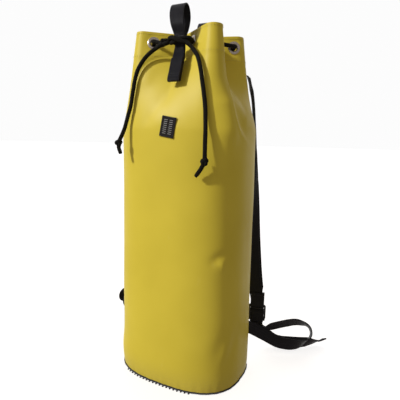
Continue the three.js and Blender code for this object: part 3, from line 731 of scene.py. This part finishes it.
def folds(share, z):
    """How far the cloth stands out from the smooth wall."""
    share, z = np.broadcast_arrays(np.asarray(share, float), np.asarray(z, float))
    x = (np.mod(share + 0.5, 1) - 0.5) * DRAWN_GIRTH
    total = np.zeros(x.shape)
    for line, fades, ridges in FOLDS:
        off, place = across_line(x, z, line)
        total += fade(place, *fades) * sum(height * bell(off - at, width) for height, at, width in ridges)

    # Beyond the front right ridge the cloth drops into a hollow.
    off, place = across_line(x, z, RIDGE_CREASE)
    beyond = np.clip(off, 0, None)
    hollow = 5.5 * (1 - np.exp(-beyond / 7)) * bell(beyond, 34)
    total += fade(place, 0.06, 0.3) * (1.2 * bell(off, 4) - hollow)

    # The front panel stays flat as far as its edge, and turns away sharply beyond it.
    off, place = across_line(x, z, PANEL_EDGE)
    total += fade(place, 0.25, 0.45) * 6.5 * bell(off, np.where(off < 0, 24, 16))

    # The gathered cloth swells out below the tie.
    total += 1.8 * bell(x + 2, 42) * bell(z - 516, 30)

    turn = 2 * math.pi * share
    calm = np.clip((z - 12) / 40, 0, 1) * np.clip((570 - z) / 40, 0, 1)
    total += calm * 0.55 * np.sin(3 * turn + 0.011 * z + 0.7) * np.sin(0.014 * z + 1.1)
    total += calm * 0.3 * np.sin(7 * turn - 0.02 * z) * np.sin(0.027 * z + 2 * turn)

    # The seam at the base pulls the cloth in, in short puckers.
    low = np.clip((26 - z) / 26, 0, 1)
    total += -1.8 * low**2.2 + 0.35 * low * np.sin(38 * turn) * np.sin(11 * turn + 1)

    # Its left side bellies out just above that seam.
    total += 2.4 * bell(z - 36, 24) * np.clip(-np.sin(turn), 0, 1)

    # The hem is two layers thick, and stays flat where the eyelets are.
    total += 0.35 / (1 + np.exp(np.clip(-(z - HEM_BOTTOM) / 0.7, None, 700)))
    return total


def plan_normal(share, z):
    along = smooth_wall(share + 0.002, z) - smooth_wall(share - 0.002, z)
    up = smooth_wall(share, np.asarray(z) + 2) - smooth_wall(share, np.asarray(z) - 2)
    return unit(np.cross(along, up))


def eyelet_places():
    places = {}
    for name, (valley, distance) in EYELETS.items():
        share = valley + distance / MOUTH_GIRTH
        z = HEIGHT - EYELET["drop"]
        places[name] = (smooth_wall(share, z), plan_normal(share, z))
    return places


PLACES = eyelet_places()


# Round each eyelet the cloth is flat out to `flat`, and back on its folds at `edge`.
FLAT = {"flat": 12.0, "edge": 17.0, "depth": 12.0}


def from_axis(points, at, axis):
    """How far the points lie along an axis from `at`, and how far from the axis."""
    reach = points - at
    depth = reach @ axis
    return depth, np.linalg.norm(reach - depth[..., None] * axis, axis=-1)


def wall(share, z, out=0.0):
    """A point on the cloth's outside, moved out by `out`: smooth wall, folds, and flats for the eyelets."""
    normal = plan_normal(share, z)
    points = smooth_wall(share, z) + normal * (folds(share, z) + out)[..., None]
    for at, axis in PLACES.values():
        depth, away = from_axis(points, at, axis)
        flat = np.clip((FLAT["edge"] - away) / (FLAT["edge"] - FLAT["flat"]), 0, 1)
        flat = flat * (np.abs(depth) < FLAT["depth"])
        points = points - axis * ((depth - out) * flat * flat * (3 - 2 * flat))[..., None]
    return points


def near_eyelet(points, radius, reach=9.0):
    """Which points lie within that radius of an eyelet's axis, and within `reach` along it."""
    close = np.zeros(points.shape[:-1], bool)
    for at, axis in PLACES.values():
        depth, away = from_axis(points, at, axis)
        close |= (away < radius) & (np.abs(depth) < reach)
    return close


def wall_sheet(levels, columns):
    """A sheet round the bag through (height, out) levels, open where the eyelets pass through it."""
    shares = np.linspace(0, 1, columns + 1)[:-1]
    points = np.stack([wall(shares, z, out) for z, out in levels])
    height = lengths(np.array(levels, float))
    part = surface(points, height, np.linspace(0, LOWER_GIRTH, columns + 1), False, True)
    middles = part[0][np.array(part[1])].mean(1)
    kept = ~near_eyelet(middles, 7.0)
    return part[0], [f for f, k in zip(part[1], kept) if k], [uv for uv, k in zip(part[2], kept) if k]


def rounded_top(outer, inner, top):
    """Levels over a rolled edge, from the outside to the inside."""
    middle, radius = (outer + inner) / 2, (outer - inner) / 2
    angles = np.radians(np.linspace(10, 170, 9))
    return [(top - radius + radius * math.sin(a), middle + radius * math.cos(a)) for a in angles]


def line_on_wall(shares, z, out):
    """Points along the wall and the directions out of it there."""
    shares, z = np.broadcast_arrays(np.asarray(shares, float), np.asarray(z, float))
    return wall(shares, z, out), plan_normal(shares, z)


def add_wall():
    low = [(z, 0.0) for z in np.linspace(3.4, 540, 150)]
    high = [(z, 0.0) for z in np.linspace(541.5, HEIGHT - 1, 38)]
    inside = [(z, -WALL) for z in np.linspace(HEIGHT - 1, 552, 26)]
    body = wall_sheet(low + high + rounded_top(0, -WALL, HEIGHT) + inside, 416)
    make("bag_body", body, YELLOW, nodes=["body_panel"])

    outer, inner = -WALL - 0.3, -WALL - 1.7
    levels = [(z, outer) for z in np.linspace(HEM_BOTTOM, HEIGHT - 4, 24)]
    levels += rounded_top(outer, inner, HEIGHT - 3)
    levels += [(z, inner) for z in np.linspace(HEIGHT - 4, HEM_BOTTOM, 24)]
    levels += [(HEM_BOTTOM - 0.4, (outer + inner) / 2), (HEM_BOTTOM, outer)]
    make("hem_facing", wall_sheet(levels, 320), YELLOW_INSIDE, nodes=["rim_facing"])

    shares = np.linspace(0, 1, 721)
    rows = [stitches(*line_on_wall(shares, z, 0.1), 4.2, 3.0, 0.6) for z in HEM_ROWS]
    make("hem_stitching", joined(rows), YELLOW_THREAD)


add_wall()

# ---- base ----


BINDING = {"half_height": 1.55, "half_width": 2.1}
# The panel, from its underside's middle round its rim to its upper side, as (share of the outline, z).
BASE_LEVELS = [
    (0.2, 1.1), (0.5, 0.9), (0.8, 0.6), (0.95, 0.3), (0.968, 0.0), (0.9715, 1.4), (0.968, 2.8), (0.6, 2.6),
    (0.2, 2.5),
]


def add_base():
    shares = np.linspace(0, 1, 361)[:-1]
    high, wide = BINDING["half_height"], BINDING["half_width"]
    centre = wall(shares, 4.0, -0.9) * [1, 1, 0] + [0, 0, high]
    section = np.array([(high * math.sin(a), wide * math.cos(a)) for a in circle(14)])
    upright = np.tile([0.0, 0.0, 1.0], (360, 1))
    binding = sweep(centre, upright, section, closed=True)
    make("edge_binding", binding, GREY_CLOTH, nodes=["base_binding"])
    normal = unit(plan_normal(shares, 20.0) * [1, 1, 0])
    line = centre + normal * wide
    row = stitches(line + [0, 0, -0.5], normal, 3.4, 2.3, 0.8, 0.5)
    # The overcast thread has worked loose along the front, toward the left.
    loose = np.arange(318, 393) % 360
    overcast = stitches(line[loose] + [0, 0, -0.7], normal[loose], 7.0, 3.8, 1.6, 3.8, 1.1)
    make("binding_overcast", overcast, GREY_CLOTH)
    make("binding_stitching", row, GREY_THREAD)

    rim = smooth_wall(shares, 0.0)[:, :2]
    rings = np.array([np.concatenate([rim * size, np.full((360, 1), z)], -1) for size, z in BASE_LEVELS])
    part = outwards(surface(rings, lengths(rings[:, 0]), np.linspace(0, 688, 361), False, True, caps=True))
    make("base_cloth_panel", part, GREY_CLOTH, nodes=["base_panel"])


add_base()

# ---- strips and patches sewn to the wall ----


def wall_patch(first, last, bottom, top, lift, thickness, columns=18, rows=16):
    """A sewn patch with rounded edges between two shares of the girth and two heights."""
    u, v = np.linspace(-1, 1, columns + 1), np.linspace(-1, 1, rows + 1)
    across = lift + thickness * (1 - np.abs(u[None, :]) ** 10) ** 0.5 * (1 - np.abs(v[:, None]) ** 10) ** 0.5
    shares = (first + last) / 2 + (last - first) / 2 * u
    heights = (bottom + top) / 2 + (top - bottom) / 2 * v
    s, z = np.meshgrid(shares, heights)
    width = (last - first) * LOWER_GIRTH
    along, over = (v + 1) / 2 * (top - bottom), (u + 1) / 2 * width
    front = surface(wall(s, z, across), along, over)
    back = surface(wall(s, z, lift * 0.8), along, over)
    return joined([front, (back[0], [f[::-1] for f in back[1]], [uv[::-1] for uv in back[2]])])


def box_stitching(first, last, bottom, top, out):
    """A sewn box with a cross in it."""
    pad, margin = (last - first) * 0.12, 2.5
    a, b, low, high = first + pad, last - pad, bottom + margin, top - margin
    corners = [(a, low), (b, low), (b, high), (a, high), (a, low), (b, high), (a, high), (b, low)]
    rows = []
    for (s0, z0), (s1, z1) in zip(corners[:-1], corners[1:]):
        line = line_on_wall(np.linspace(s0, s1, 20), np.linspace(z0, z1, 20), out)
        rows.append(stitches(*line, 2.8, 2.1))
    return joined(rows)


def add_patches():
    step = 1 / 64
    strip = (31 * step, 33 * step, 6.2, 498.0)
    part = wall_patch(*strip, 0.3, 0.9, 10, 120)
    make("seam_strip", part, YELLOW, nodes=["back_seam_strip"])
    heights = np.linspace(8, 496, 160)
    rows = [stitches(*line_on_wall(place * step, heights, 1.25), 4.2, 3.0) for place in (31.3, 32.7)]
    make("seam_stitching", joined(rows), YELLOW_THREAD)
    patches = {
        "rear_loop_patch": (30, 33, 526, 556, 0.3, 1.8),
        "strap_anchor_right": (24, 27, 541, 562, 0.6, 2.0),
        "strap_anchor_left": (37, 40, 541, 562, 0.6, 2.0),
        "lower_anchor_right": (24, 26, 46, 76, 0.3, 1.8),
        "lower_anchor_left": (38, 40, 46, 76, 0.3, 1.8),
    }
    for node_name, (first, last, bottom, top, lift, thickness) in patches.items():
        area = (first * step, last * step, bottom, top)
        make(f"{node_name}_tape", wall_patch(*area, lift, thickness), TAPE, nodes=[node_name])
        sewn = box_stitching(*area, lift + thickness + 0.05)
        make(f"{node_name}_stitching", sewn, BLACK_THREAD)


add_patches()

# ---- badge: a woven label with a plain pattern of its own ----


def add_badge():
    share, z, lean = 11 / LOWER_GIRTH, 443.5, math.radians(9)
    at, out = wall(share, z, 0.6), plan_normal(share, z)
    side = unit(np.cross([0, 0, 1.0], out))
    up = np.cross(out, side)
    x, y = side * math.cos(lean) - up * math.sin(lean), up * math.cos(lean) + side * math.sin(lean)
    path = at + np.linspace(-16, 16, 40)[:, None] * y
    label = sweep(path, np.tile(x, (40, 1)), band_section(26, 1.2, edge=0.15))
    make("badge_label", label, LABEL, nodes=["badge"])
    face = at + out * 0.62
    parts = []

    def bar(points):
        line = np.array([face + x * px + y * py for px, py in points])
        parts.append(tube(line, 0.45, 6))

    # Two plain columns of bars, which stand for no mark.
    for step in range(8):
        height = -10.5 + step * 3
        for middle in (-5, 5):
            bar([(middle + dx, height) for dx in (-3, 0, 3)])
    make("badge_emblem", joined(parts), GREY_THREAD)
    edge = [(-11.8, -14.6), (11.8, -14.6), (11.8, 14.6), (-11.8, 14.6), (-11.8, -14.6)]
    rows = []
    for (ax, ay), (bx, by) in zip(edge[:-1], edge[1:]):
        t = np.linspace(0, 1, 8)[:, None]
        line = face + (ax + (bx - ax) * t) * x + (ay + (by - ay) * t) * y
        rows.append(stitches(line, np.tile(out, (8, 1)), 2.2, 1.6, 0.4, 0.3, 0.0))
    make("badge_stitching", joined(rows), BLACK_THREAD)


add_badge()

# ---- eyelets ----


def add_eyelets():
    hole, barrel, outer = EYELET["hole"], EYELET["barrel"], EYELET["outer"]
    flange = [
        (hole + 0.15, -5.4), (barrel + 0.5, -6.3), (barrel + 1.2, -6.0), (barrel + 1.0, -5.4), (barrel, -5.0),
        (barrel, 0.2), (outer - 0.5, 0.25), (outer, 0.45), (outer, 0.75), (outer - 0.35, 1.0),
        (outer - 1.2, 1.25),
        (outer - 2.4, 1.42), (hole + 1.7, 1.5), (hole + 0.9, 1.4), (hole + 0.3, 1.0), (hole, 0.4),
        (hole, -4.6),
    ]
    ring = [
        (barrel + 0.3, -5.0), (outer - 0.5, -5.0), (outer, -4.7), (outer, -4.3), (outer - 0.4, -4.02),
        (barrel + 1.4, -4.02), (barrel + 0.5, -4.25),
    ]
    for name, (at, axis) in PLACES.items():
        for kind, profile, segments in (("eyelet", flange, 48), ("washer", ring, 40)):
            part = lathe(profile, segments, at, axis)
            make(f"{kind}_ring_{name}", part, NICKEL, nodes=[f"{kind}_{name}"])


add_eyelets()

# ---- drawcord ----


def through(name, outwards_first):
    at, axis = PLACES[name]
    out, inside = at + axis * 7, at - axis * 9
    return [inside, at, out] if outwards_first else [out, at, inside]


def add_drawcord():
    route = [
        TIE + [12, 10, 0],
        *through("front_right", False), *through("right_front", True), *through("right_rear", False),
        *through("back_right", True), *through("back_left", False), *through("left_rear", True),
        *through("left_front", False), *through("front_left", True),
        np.array([-30, -55.5, TIE[2] + 2]), np.array([-19, -57.5, 575.5]),
    ]
    path = spline(route, 300)
    cord = make("drawcord_run", tube(path, CORD_RADIUS), CORD, nodes=["drawcord"])
    # Twice over the front of the haul loop, crossing, and once behind it.
    turn = [
        (-17.5, 0.5, -1), (-10, -6.5, -2.2), (0, -7.6, 0.2), (10, -7.2, 2.6), (17.8, -2.5, 2.4),
        (16.5, 5, 0.5),
        (8, 6.4, -0.5), (-8, 6.4, -0.5), (-17, 4.5, 1), (-18.6, -3, 3.4), (-10, -10.2, 4.2), (0, -11.6, 0.6),
        (9, -10.4, -3), (16.5, -6.5, -4.5), (15, -3.6, -4.2),
    ]
    lash = TIE + spline(turn, 170)
    make("drawcord_lashing", tube(lash, CORD_RADIUS), CORD, nodes=["drawcord_turn"])
    x, z = np.array([0.95, 0.12, -0.28]), np.array([0.2, -0.95, 0.2])
    y = unit(np.cross(z, x))
    parts = [
        overhand(KNOT + [-0.5, -3.2, 0.3], 5.0, 2.7, unit(np.cross(y, z)), y, unit(z)),
        tube(
            KNOT + spline([(-9, -1, -1), (-4, -6.5, -4.5), (3, -7, -3.4), (8, -3.5, -0.5)], 24), CORD_RADIUS
        ),
    ]
    make("drawcord_half_hitch", joined(parts), CORD, nodes=["drawcord_knot"])


add_drawcord()

# ---- haul loops ----

FRONT_LOOP = [
    (-17.6, -59), (-13, -46), (-5.8, -25), (-2.6, -12), (-1.3, -4), (-1.3, 4), (-4, 12), (-10.5, 25),
    (-12.5, 39),
    (-8.5, 50), (-0.5, 53.5), (6.5, 47.5), (9.3, 35), (6.2, 18), (1.3, 4), (1.3, -4), (0, -12), (-3.2, -25),
    (-10.4, -46), (-15.2, -60), (-17.6, -63.2), (-20.4, -60.5), (-15.6, -46), (-9, -26.5),
]
REAR_LOOP = [
    (-1.3, -2), (-1.3, 10), (-1.5, 25), (-6, 42), (-8, 54), (-6, 66), (0, 72), (6, 66), (8, 54),
    (6, 42), (1.5, 25), (1.3, 10), (1.3, -2),
]


def side_band(profile, at, width, thickness, bearing=0.0, steps=None):
    """A band seen from its side: profile is [outwards, up] from `at`, and the width lies at that bearing."""
    flat = spline(profile, steps or 9 * len(profile), 0.0)
    across = np.array([math.cos(bearing), math.sin(bearing), 0])
    out = np.array([-math.sin(bearing), math.cos(bearing), 0])
    path = at + flat[:, :1] * out + flat[:, 1:] * np.array([0, 0, 1.0])
    return path, np.tile(across, (len(path), 1)), band_section(width, thickness, edge=0.12)


def add_haul_loops():
    for name, profile, at, body in (
        ("front_haul_loop", FRONT_LOOP, TIE, "front_loop"),
        ("rear_haul_loop", REAR_LOOP, np.array([5.0, 42.8, 558.5]), "rear_loop"),
    ):
        path, across, section = side_band(profile, at, WEBBING["width"], WEBBING["thickness"] - 0.35)
        front = profile is FRONT_LOOP
        up = path[:, 2] - at[2]
        # The tie pinches the front loop, and its tail below stays a little narrower.
        waist = 1 - 0.3 * bell(up, 17) - 0.14 / (1 + np.exp((up + 10) / 5)) if front else None
        band = sweep(path, across, section, waist)
        make(f"{name}_tape", band, TAPE, body=body, nodes=[name])
        heights = (-55.0, -51.5) if front else (15.0, 19.0)
        rows = []
        for z in heights:
            outside = path[np.abs(path[:, 2] - at[2] - z) < 3]
            y = outside[:, 1].min() - 1.05
            line = np.array([(at[0] + dx, y, at[2] + z) for dx in np.linspace(-10.5, 10.5, 10)])
            rows.append(stitches(line, np.tile([0, -1.0, 0], (10, 1)), 2.6, 2.0))
        make(f"{name}_stitching", joined(rows), BLACK_THREAD, body=body)


add_haul_loops()

# ---- shoulder straps ----

STRAP = {"width": 34.0, "end": 26.0}
STRAP_STATIONS = [
    (82, 67, 538, 117, 0), (84, 75, 522, 114, 0), (86.5, 82, 500, 112, 0), (89, 88, 460, 110, 0),
    (91.5, 90, 425, 110, 0), (95, 90, 386, 106, 0), (96, 89, 352, 95, 0), (92, 96.5, 304, 70, 0),
    (90.6, 100, 246, 45, 0), (93.4, 100, 200, 28, 0), (97.1, 99.7, 165, 18, 0), (101.2, 100.6, 134, 15, 0),
    (104.5, 102, 120, 15, 0), (106.5, 102.8, 108.5, 15, 0),
]


def add_strap(side, stations):
    """A foam strap between two cloth faces, bound along both edges, with a sewn line inside each binding."""
    path, across, along = band_frames(stations, 220)
    out = np.cross(along, across)
    distance = lengths(path)
    narrow = STRAP["end"] / STRAP["width"]
    width = np.interp(np.linspace(0, 13, 221), [0, 11, 11.8, 13], [1, 1, narrow, narrow])
    plump = np.clip(distance / 25, 0.45, 1) * np.clip((distance[-1] - distance) / 40, 0.5, 1)
    half = STRAP["width"] / 2
    flat = np.linspace(-1, 1, 19)
    height = 1.0 + 1.75 * (1 - np.abs(flat) ** 6) ** 0.8
    height[[2, -3]] = 1.25
    height[[0, 1, -2, -1]] = (0.55, 1.6, 1.6, 0.55)
    section = np.array([*zip(flat * half, height), *zip(flat[::-1] * half, -height[::-1])])
    ripple = 1 + 0.05 * np.sin(distance / 9) * np.sin(distance / 23)
    rings = (
        path[:, None]
        + section[None, :, :1] * across[:, None] * width[:, None, None]
        + section[None, :, 1:] * out[:, None] * (plump * ripple)[:, None, None]
    )
    around = lengths(np.concatenate([section, section[:1]]))
    part = outwards(surface(rings, distance, around, False, True, caps=True))
    node_names = [f"shoulder_strap_{side}"]
    strap = make(f"padded_strap_{side}", part, STRAP_CLOTH, nodes=node_names)
    rows = []
    for sign in (-1, 1):
        for face in (-1, 1):
            line = path + across * (width * half * 0.78 * sign)[:, None]
            line = line + out * (1.3 * plump * face)[:, None]
            rows.append(stitches(line[4:-4], out[4:-4] * face, 3.4, 2.4, 0.5, 0.4))
    make(f"strap_stitching_{side}", joined(rows), BLACK_THREAD)


add_strap("right", STRAP_STATIONS)
add_strap("left", mirrored(STRAP_STATIONS))

# ---- ladder buckles ----

BUCKLE = {"x": 107.0, "y": 103.0, "z": 82.0, "bearing": 15, "width": 35.0}
SLEEVE = [
    (-2.6, 42), (-2.7, 34), (-2.9, 27), (-3.6, 21.5), (-4.1, 17.5), (-4.1, 15), (-3.55, 12.95),
    (-2.05, 11.45), (0, 10.9), (2.05, 11.45),
    (3.55, 12.95), (4.1, 15), (4.1, 17.5), (3.6, 21.5), (2.9, 27), (2.7, 34), (2.6, 42),
]
THREADED = [
    (-5.7, -17), (-5.7, -9), (-5.7, 0), (-4, 5), (0, 7.3), (3.6, 5.5), (4, 2), (2.6, -1.8), (0, -4),
    (-2.7, -6.4), (-3.3, -10), (-3.3, -17),
]


def buckle_frame():
    """The frame in its own axes: x across, y out and z up, from its middle."""
    half, top, bottom = BUCKLE["width"] / 2 - 1.9, 15.1, -12.5
    corner = 2.6
    centres = [(half - corner, bottom + corner, -90), (half - corner, top - corner, 0)]
    centres += [(-half + corner, top - corner, 90), (-half + corner, bottom + corner, 180)]
    path = []
    for x, z, start in centres:
        for angle in np.radians(np.linspace(start, start + 90, 8)):
            path.append((x + corner * math.cos(angle), 0, z + corner * math.sin(angle)))
    path = np.array(path)
    pairs = zip(path, np.roll(path, -1, axis=0))
    path = np.concatenate([a + (b - a) * np.linspace(0, 1, 4)[:-1, None] for a, b in pairs])
    out = np.tile([0, 1.0, 0], (len(path), 1))
    c, s = np.cos(circle(16)), np.sin(circle(16))
    section = np.stack([2.0 * np.sign(c) * np.abs(c) ** 0.5, 1.85 * np.sign(s) * np.abs(s) ** 0.5], -1)
    parts = [sweep(path, out, section, closed=True)]

    def block(size, at, shape, axes=np.eye(3)):
        parts.append(placed(lump(size, *shape), np.array(at), *axes))

    block((30, 4.4, 4.0), (0, 0.2, 2.3), (5, 12, 24))
    block((33, 9.4, 4.0), (0, 0, -12.4), (7, 14, 28), np.eye(3)[[0, 2, 1]] * [[1], [1], [-1]])
    # A web above the threaded tape, and one beside each of its edges.
    block((27, 3.4, 2.6), (0, 0, 8.6), (4, 10, 22))
    for x in (-14.4, 14.4):
        block((2.1, 7.4, 19), (x, -0.6, 1.0), (4, 12, 12))
    # Grip ribs along the lower bar and the middle one.
    for z in (-15.4, -13.4, -11.4, -9.6):
        block((27, 1.5, 1.0), (0, -2.1, z), (3, 6, 16))
    for z in (1.2, 3.2):
        block((24, 1.3, 0.9), (0, -2.0, z), (3, 6, 16))
    return joined(parts)


def add_buckle(side, sign):
    at = np.array([sign * BUCKLE["x"], BUCKLE["y"], BUCKLE["z"]])
    bearing = math.radians(sign * BUCKLE["bearing"])
    x = np.array([math.cos(bearing), math.sin(bearing), 0])
    y = np.array([-math.sin(bearing), math.cos(bearing), 0])
    frame_part = placed(buckle_frame(), at, x, y, np.array([0, 0, 1.0]))
    body = f"buckle_{side}"
    node_names = [f"ladder_buckle_{side}"]
    make(f"ladder_frame_{side}", frame_part, PLASTIC, body=body, nodes=node_names)
    turn = sweep(*side_band(THREADED, at, 26.6, 1.6, bearing))
    make(f"threaded_tape_{side}", turn, TAPE, body=body, nodes=[f"webbing_turn_{side}"])
    sleeve = sweep(*side_band(SLEEVE, at, 27, 1.6, bearing))
    make(f"sleeve_tape_{side}", sleeve, TAPE, nodes=[f"strap_sleeve_{side}"])
    line = at + np.linspace(-10.5, 10.5, 10)[:, None] * x + y * -3.5 + [0, 0, 38]
    sewn = stitches(line, np.tile(-y, (10, 1)), 2.4, 1.9)
    make(f"sleeve_stitching_{side}", sewn, BLACK_THREAD)


add_buckle("right", 1)
add_buckle("left", -1)

# ---- floor, sky and lamps ----

TO_KEY = Vector((-0.539, -0.642, 0.545)).normalized()
SKY_DIM, SKY_BRIGHT = (0.285, 0.252, 0.235), (0.975, 0.975, 0.975)
SOFTBOX_AT, SOFTBOX_AIM = Vector((-0.55, -1.0, 1.25)), Vector((0, 0, 0.5))


def add_floor():
    material, tree, shader, _, _ = start_material("pale_floor", Specular_IOR_Level=0.1)
    cloud = noise(tree, 3, 3)
    base = blended(tree, cloud, (0.90, 0.90, 0.90), (0.88, 0.88, 0.885))
    finish_material(tree, shader, base, remap(tree, cloud, 0, 1, 0.85, 0.95), noise(tree, 120, 3), 0.00005)
    shader.inputs["Emission Color"].default_value = (1, 1, 1, 1)
    shader.inputs["Emission Strength"].default_value = 0.8
    radius = np.array([0.0, 300, 1000, 3000, 9000, 30000])
    angles = circle(64)
    ring = np.stack([np.cos(angles), np.sin(angles), 0 * angles], -1)
    points = ring[None] * np.maximum(radius, 1)[:, None, None] + [0, 0, -0.2]
    part = surface(points, radius, np.linspace(0, 1000, 65), False, True, caps=True)
    mesh = bpy.data.meshes.new("floor")
    mesh.from_pydata(part[0] * MM, [], part[1])
    mesh.materials.append(material)
    floor = linked("floor", mesh)
    floor.visible_diffuse = False
    floor.visible_glossy = False


def add_sky():
    """Bright where the camera looks, and dim and warm elsewhere, as in a small studio with one white wall."""
    world = bpy.data.worlds.new("studio")
    bpy.context.scene.world = world
    world.use_nodes = True
    tree = world.node_tree
    background = tree.nodes["Background"]
    direction = node(tree, "TexCoord").outputs["Generated"]
    forward = camera_axes()[2] * Vector((1, 1, 0))
    values = {0: direction, 1: tuple(forward.normalized())}
    facing = node(tree, "VectorMath", values, operation="DOT_PRODUCT").outputs["Value"]
    sky = blended(tree, remap(tree, facing, 0.35, 0.8), SKY_DIM, SKY_BRIGHT)
    tree.links.new(sky, background.inputs["Color"])


def add_lamp(name, kind, place, toward_lamp, **settings):
    data = bpy.data.lights.new(name, kind)
    for key, value in settings.items():
        setattr(data, key, value)
    lamp = linked(name, data)
    lamp.location = place
    lamp.rotation_euler = toward_lamp.to_track_quat("Z", "Y").to_euler()


add_floor()
add_sky()
add_lamp("key", "SUN", (0, 0, 0), TO_KEY, energy=2.25, angle=math.radians(4), color=(1.0, 0.985, 0.96))
add_lamp("softbox", "AREA", SOFTBOX_AT, SOFTBOX_AT - SOFTBOX_AIM, shape="DISK", size=0.7, energy=2.5)

scene = bpy.context.scene
scene.view_settings.view_transform = "Standard"
scene.view_settings.look = "None"
